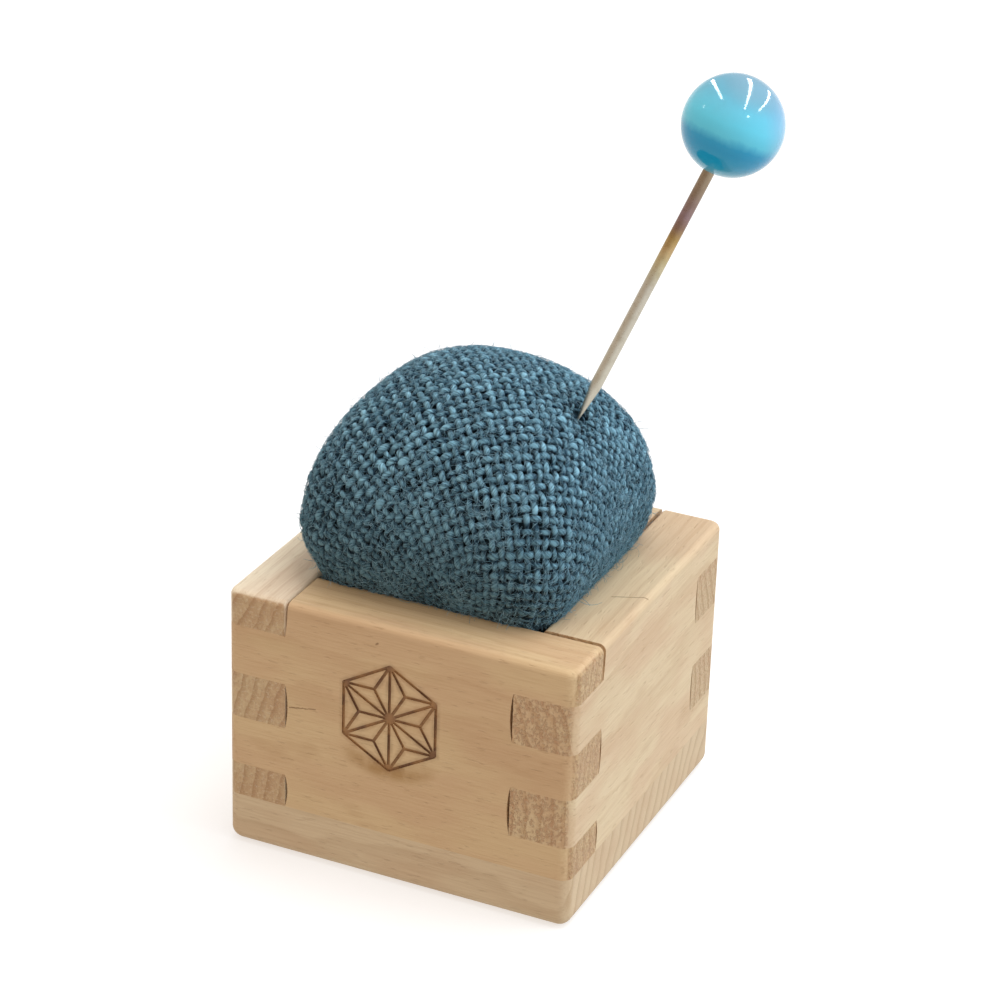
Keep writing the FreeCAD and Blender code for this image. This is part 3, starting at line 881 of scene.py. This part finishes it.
def fuzz_piece(name, tubes, material, count, joints, lifts, length, thickest, top, laid_on=None):
    """Loose fibres from the yarns below a height, each a thin curling three-sided tube.

    lifts is how steeply they may leave the yarns, and length is their mean length. Those laid
    on a surface follow it; the others stand off it.
    """
    rings = np.concatenate([tube[0] for tube in tubes])
    rings = rings[(rings[:, 0, 2] > RIM - 0.3) & (rings[:, 0, 2] < top)]
    # Only the upper half of each yarn sheds fibres that show.
    ring = rng.integers(0, len(rings), count)
    start = rings[ring, rng.integers(SIDES // 4, 3 * SIDES // 4 + 1, count)]
    outward = unit(start - CENTRE)
    sideways = unit(np.cross(outward, rng.standard_normal(start.shape)))
    lift = rng.uniform(*lifts, (len(start), 1))
    heading = unit(outward * lift + sideways)
    lengths = rng.gamma(3.0, length / 3, len(start)).clip(0.25, 2.2)
    radius = rng.uniform(thickest / 2, thickest, len(start))
    curl = rng.standard_normal(start.shape) * 0.28
    path = [start - outward * 0.05]
    for joint in range(1, joints):
        heading = unit(heading + curl - outward * 0.10 * (joint - 1))
        path.append(path[-1] + heading * (lengths / (joints - 1))[:, None])
    path = np.stack(path, 1)
    if laid_on:
        arch = np.sin(np.linspace(0, math.pi, joints)) * rng.uniform(0.02, 0.14, (len(start), 1)) - 0.03
        path = laid_on.place(path) + outward[:, None] * arch[..., None]
    # Fibres that would lie in the pin's way are left out.
    off_pin = np.linalg.norm(from_pin(path)[0], axis=-1).min(axis=1) > SHAFT_RADIUS + 0.15
    path, outward, radius = path[off_pin], outward[off_pin], radius[off_pin]
    one = unit(np.cross(np.gradient(path, axis=1), outward[:, None]))
    other = unit(np.cross(np.gradient(path, axis=1), one))
    angle = np.arange(3) * 2 * math.pi / 3
    thin = radius[:, None] * np.linspace(1.0, 0.45, joints)
    points = (path[:, :, None] + thin[..., None, None]
              * (one[:, :, None] * np.cos(angle)[:, None] + other[:, :, None] * np.sin(angle)[:, None]))
    first = np.arange(len(path))[:, None] * joints * 3
    quads = (first[..., None] + tube_quads(joints, 3)).reshape(-1, 4)
    ends = np.concatenate([first + np.array([2, 1, 0]), first + (joints - 1) * 3 + np.array([0, 1, 2])])
    piece = new_object(name, points.reshape(-1, 3), quads.tolist() + ends.tolist(), material, "box")
    spread = rng.random((len(quads) + len(ends), 2))
    on_sides, on_ends = np.split(spread, [len(quads)])
    lay_flat(piece, [np.repeat(on_sides, 4, axis=0), np.repeat(on_ends, 3, axis=0)])
    return piece


# ---- the pin -----------------------------------------------------------------------

def turned(name, outline, foot, sides, material):
    """A piece turned about the pin's axis from (radius, height) points; its ends lie on it."""
    side = unit(np.cross(PIN_AXIS, (0.0, 0.0, 1.0)))
    other = np.cross(PIN_AXIS, side)
    angle = np.arange(sides) * 2 * math.pi / sides
    around = side * np.cos(angle)[:, None] + other * np.sin(angle)[:, None]
    radius, height = np.array(outline[1:-1]).T
    rings = foot + height[:, None, None] * PIN_AXIS + radius[:, None, None] * around
    ends = [foot + height * PIN_AXIS for _, height in (outline[0], outline[-1])]
    points = np.concatenate([rings.reshape(-1, 3), ends])
    faces = tube_quads(len(radius), sides).tolist()
    first, last = len(points) - 2, len(points) - 1
    top = (len(radius) - 1) * sides
    for turn in range(sides):
        after = (turn + 1) % sides
        faces.append([first, after, turn])
        faces.append([last, top + turn, top + after])
    piece = new_object(name, points, faces, material, "pin")
    bm = bmesh.new()
    bm.from_mesh(piece.data)
    bmesh.ops.recalc_face_normals(bm, faces=bm.faces[:])
    bm.to_mesh(piece.data)
    bm.free()
    return piece


def shaft_outline():
    """The shaft from its point up: a straight taper that eases into the stem, then the top."""
    top = SHAFT_EXPOSED + SHAFT_SUNK + SHAFT_IN_BEAD
    straight = 0.75
    slope = SHOULDER_RADIUS / SHAFT_RADIUS / straight
    outline = [(0.0, 0.0)]
    outline += [(SHAFT_RADIUS * slope * s, POINT_LENGTH * s) for s in np.linspace(0.02, straight, 10)]
    # A Hermite curve from the taper's slope to none.
    for t in np.linspace(0.2, 1.0, 5):
        rise = 3 * t ** 2 - 2 * t ** 3
        swing = (t ** 3 - 2 * t ** 2 + t) * slope * (1 - straight)
        radius = SHAFT_RADIUS * ((1 - rise) * slope * straight + swing + rise)
        outline.append((radius, POINT_LENGTH * (straight + (1 - straight) * t)))
    outline += [(SHAFT_RADIUS, height) for height in np.linspace(POINT_LENGTH + 0.6, top - 0.1, 24)]
    return outline + [(SHAFT_RADIUS - 0.06, top - 0.02), (0.0, top - 0.02)]


def bead_outline():
    """The bead, with the bore that the shaft is fused in and a small collar at its mouth."""
    bore, mouth = SHAFT_RADIUS + 0.06, 0.16
    start = math.asin((bore + mouth) / BEAD_RADIUS)
    end = SHAFT_IN_BEAD - BEAD_RADIUS
    outline = [(0.0, end), (bore, end)]
    outline += [(bore, height) for height in np.linspace(end - 0.2, 0.4 - BEAD_RADIUS, 6)]
    lip = -BEAD_RADIUS * math.cos(start)
    for turn in np.linspace(0.15, 1.0, 6) * math.pi / 2:
        outline.append((bore + mouth * (1 - math.cos(turn)), lip + 0.14 * (1 - math.sin(turn))))
    for turn in np.linspace(start + 0.02, math.pi - 0.02, 90):
        outline.append((BEAD_RADIUS * math.sin(turn), -BEAD_RADIUS * math.cos(turn)))
    return outline + [(0.0, BEAD_RADIUS)]


# ---- building ----------------------------------------------------------------------

def dress(node, material):
    NODES[node].data.materials.clear()
    NODES[node].data.materials.append(material)


FRONT_CRACKS = (
    ((0, 2), (-9.4, 13.6), (-7.1, 14.0), 0.09, 1, FRONT),
    ((0, 2), (-1.86, 21.14), (-1.74, 21.20), 0.12, 1, FRONT),
)
RIGHT_TOP_CRACKS = (((0, 1), (12.2, -2.0), (15.0, -0.7), 0.10, 2, RIM),)

dress("wall_front", wall_wood("front_wood", 0, 3.0, (30.0, 6.0), 0.9, SHADED_FRONT_PALE, SHADED_FRONT_DARK,
                              cracks=FRONT_CRACKS, mark=True))
dress("wall_back", wall_wood("back_wood", 0, 17.0, (-34.0, 4.0), 0.6))
dress("wall_right", wall_wood("right_wood", 1, 29.0, (-31.0, 5.0), 0.9,
                              end_tone=rgb(252, 248, 240), cracks=RIGHT_TOP_CRACKS))
# The left wall's paler copy of the wood is painted light.
dress("wall_left", wall_wood("left_wood", 1, 53.0, (36.0, -3.0), 0.5, rgb(251, 240, 215),
                             end_tone=rgb(222, 206, 184)))
dress("base_board", base_wood())
dress("glue_bed", glue_material())
dress("gathering_thread", thread_material())

LEAN = 0.3  # how far the dome leans to the left
DIMPLE_DEPTH = 0.3
DIMPLE = PIN_ENTRY + np.array([0.75, 0.1, -0.45])
BACKING_DEPTH = 0.62  # from the cushion's surface to the backing

form, form_faces = pillow_mesh(27)
form = swollen(form, form_faces)
form[:, 0] -= LEAN * np.clip((form[:, 2] - RIM) / (LEVEL - RIM), 0.0, 1.0)
# The pin presses a small dimple beside itself.
dent = np.linalg.norm(form - DIMPLE, axis=1)
form = form - unit(form - CENTRE) * (DIMPLE_DEPTH * np.exp(-dent ** 2))[:, None]
inward = unit(CENTRE - form)
surface = Surface(form, form_faces)
yarn_level = Surface(form + inward * 2 * YARN_THICK, form_faces)

net = wrapped_net(yarn_level)
normals = net_normals(net)
warp = yarns(net, normals, 1, WARP_HALF)
weft = yarns(net, normals, 0, WEFT_HALF)
warp_linen = yarn_material("warp_linen", rgb(13, 47, 69), rgb(148, 200, 223), rgb(18, 57, 76))
weft_linen = yarn_material("weft_linen", rgb(12, 45, 67), rgb(140, 192, 215), rgb(17, 55, 74))
for label, tubes, linen in (("warp", warp, warp_linen), ("weft", weft, weft_linen)):
    half = len(tubes) // 2
    yarn_piece(f"cover_{label}_1", tubes[:half], linen)
    yarn_piece(f"cover_{label}_2", tubes[half:], linen)

# The backing stands where the stuffing is; its dark colour is painted shade in the gaps of the weave.
gap_shade_cloth = cloth_material("cover_backing_painted_shade", rgb(16, 30, 38), rgb(38, 62, 74))
backing = new_object("cushion", form + inward * BACKING_DEPTH, form_faces, gap_shade_cloth, "box")
smooth = backing.modifiers.new("smooth", "SUBSURF")
smooth.levels = smooth.render_levels = 1
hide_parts("cushion_cover", "cushion_stuffing")

hair = cloth_material("linen_fuzz", rgb(90, 136, 158), rgb(166, 204, 222))
crown = COVER_HIGH[2] + 1.0
for layer in (1, 2):
    fuzz_piece(f"cover_lint_{layer}", warp + weft, hair, count=7400, joints=5, lifts=(0.0, 0.1),
               length=0.75, thickest=0.020, top=crown, laid_on=surface)
fuzz_piece("cover_fuzz", warp + weft, hair, count=5600, joints=6, lifts=(0.3, 1.4),
           length=0.7, thickest=0.026, top=crown)
fuzz_piece("rim_fuzz", warp + weft, hair, count=2200, joints=6, lifts=(0.1, 0.6),
           length=0.85, thickest=0.021, top=RIM + 1.6)

point = PIN_ENTRY - PIN_AXIS * SHAFT_SUNK
shaft = turned("shaft", shaft_outline(), point, 40, steel_material())
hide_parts("pin_shaft")
bead = turned("bead", bead_outline(), BEAD, 128, bead_material())
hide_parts("pin_head")


# ---- floor, light and camera -------------------------------------------------------

def floor_material():
    g = Graph("floor")
    mottle = g.noise(g.place, 0.02, 2.0)
    colour = g.mix(mottle, rgb(196, 196, 196), rgb(200, 200, 200))
    g.feed(g.shader.inputs["Emission Color"], rgb(255, 255, 255))
    return g.done(colour, 0.9, None, Specular_IOR_Level=0.1, Emission_Strength=0.56)


def studio_world():
    """A pale horizon, a cooler sky behind and to the right, and warm light in front and below."""
    made = bpy.data.worlds.new("studio")
    made.use_nodes = True
    g = Graph("studio_nodes")
    bpy.data.materials.remove(g.material)
    g.tree = made.node_tree
    toward = g.add("TexCoord", "Generated")
    height = g.split(toward)[2]
    behind = g.span(g.dot(toward, (0.62, 0.78, 0.0)), -0.7, 0.5)
    sky = g.mix(behind, (0.74, 0.61, 0.50, 1.0), (0.66, 0.69, 0.73, 1.0))
    sky = g.mix(g.span(height, 0.03, 0.22), (1.0, 1.0, 1.0, 1.0), sky)
    colour = g.mix(g.span(height, -0.03, -0.005), (0.50, 0.43, 0.35, 1.0), sky)
    g.feed(made.node_tree.nodes["Background"].inputs["Color"], colour)
    return made


def area_light(name, width, depth, radiance, placed):
    """An area light of a size in millimetres, with a placement matrix in metres."""
    lamp = bpy.data.lights.new(name, "AREA")
    lamp.shape = "RECTANGLE"
    lamp.size = width * MM
    lamp.size_y = depth * MM
    lamp.energy = radiance * math.pi * lamp.size * lamp.size_y
    thing = linked(name, lamp)
    thing.matrix_world = placed
    return thing


def softbox(name, place, side, radiance, colour):
    """A square light that faces the middle of the object."""
    turned_to = (Vector(MIDDLE) - Vector(place)).to_track_quat("-Z", "Y").to_matrix().to_4x4()
    thing = area_light(name, side, side, radiance, Matrix.Translation(Vector(place) * MM) @ turned_to)
    thing.data.color = colour
    thing.visible_glossy = False


TUBE_RUN = Vector((-0.419, 0.888, -0.190)).normalized()
TUBE_HEIGHT = 500.0
TUBE_RADIANCE = 24.0


def tube_light(name, across, near, far, width, receivers):
    """One of the long tubes overhead, which show as bright strips in the bead.

    across is its angle to one side of straight up, in degrees; near and far are the angles
    at which its ends are seen from the bead.
    """
    side = TUBE_RUN.cross(Vector((0, 0, 1))).normalized()
    rise = side.cross(TUBE_RUN)
    away = rise * math.cos(math.radians(across)) + side * math.sin(math.radians(across))
    start, end = (TUBE_HEIGHT * math.tan(math.radians(angle)) for angle in (near, far))
    placed = Matrix((TUBE_RUN, away.cross(TUBE_RUN), away)).transposed().to_4x4()
    placed.translation = (Vector(BEAD) + away * TUBE_HEIGHT + TUBE_RUN * (start + end) / 2) * MM
    thing = area_light(name, end - start, width, TUBE_RADIANCE, placed)
    thing.visible_diffuse = False
    thing.visible_camera = False
    thing.light_linking.receiver_collection = receivers


floor_mesh = bpy.data.meshes.new("floor")
grid = bmesh.new()
bmesh.ops.create_grid(grid, x_segments=8, y_segments=8, size=4.0)
grid.to_mesh(floor_mesh)
grid.free()
floor_mesh.materials.append(floor_material())
floor = linked("floor", floor_mesh)

# The wood is lit by the warm world below it rather than by the white floor.
floor.visible_diffuse = False
SCENE.world = studio_world()

MIDDLE = (0.0, 0.0, 25.0)
softbox("overhead", (160.0, 130.0, 680.0), 480.0, 3.2, (1.0, 0.99, 0.97))
softbox("right_side", (600.0, 120.0, 260.0), 420.0, 2.6, (0.84, 0.98, 1.08))

pin_lit = bpy.data.collections.new("pin_lit")
pin_lit.objects.link(bead)
pin_lit.objects.link(shaft)
# Three long strips and two spots: each one's angle across, its ends' angles and its width.
TUBES = (
    (-26.0, -16.0, 60.0, 34.0), (24.6, -43.0, 49.0, 44.0), (54.4, -25.0, 48.0, 28.0),
    (-58.8, -0.8, 2.6, 30.0), (47.1, -54.5, -49.0, 64.0),
)
for number, tube in enumerate(TUBES):
    tube_light(f"tube_{number}", *tube, pin_lit)

CAMERA_AZIMUTH, CAMERA_ELEVATION, CAMERA_ROLL = map(math.radians, (24.01, 25.61, 1.911))
CAMERA_AIM = (1.219, 0.543, 27.580)
CAMERA_DISTANCE = 258.93

camera_data = bpy.data.cameras.new("camera")
camera_data.sensor_width = 36.0
camera_data.lens = 117.03
camera_data.clip_start = 0.01
camera_data.clip_end = 20.0
ahead = Vector((math.sin(CAMERA_AZIMUTH), -math.cos(CAMERA_AZIMUTH), 0.0))
back = ahead * math.cos(CAMERA_ELEVATION) + Vector((0.0, 0.0, math.sin(CAMERA_ELEVATION)))
level_right = Vector((math.cos(CAMERA_AZIMUTH), math.sin(CAMERA_AZIMUTH), 0.0))
right = level_right * math.cos(CAMERA_ROLL) + back.cross(level_right) * math.sin(CAMERA_ROLL)
camera = linked("camera", camera_data)
camera.matrix_world = Matrix((right, back.cross(right), back)).transposed().to_4x4()
camera.location = (Vector(CAMERA_AIM) + back * CAMERA_DISTANCE) * MM
SCENE.camera = camera
SCENE.view_settings.view_transform = "Standard"

bpy.context.view_layer.update()
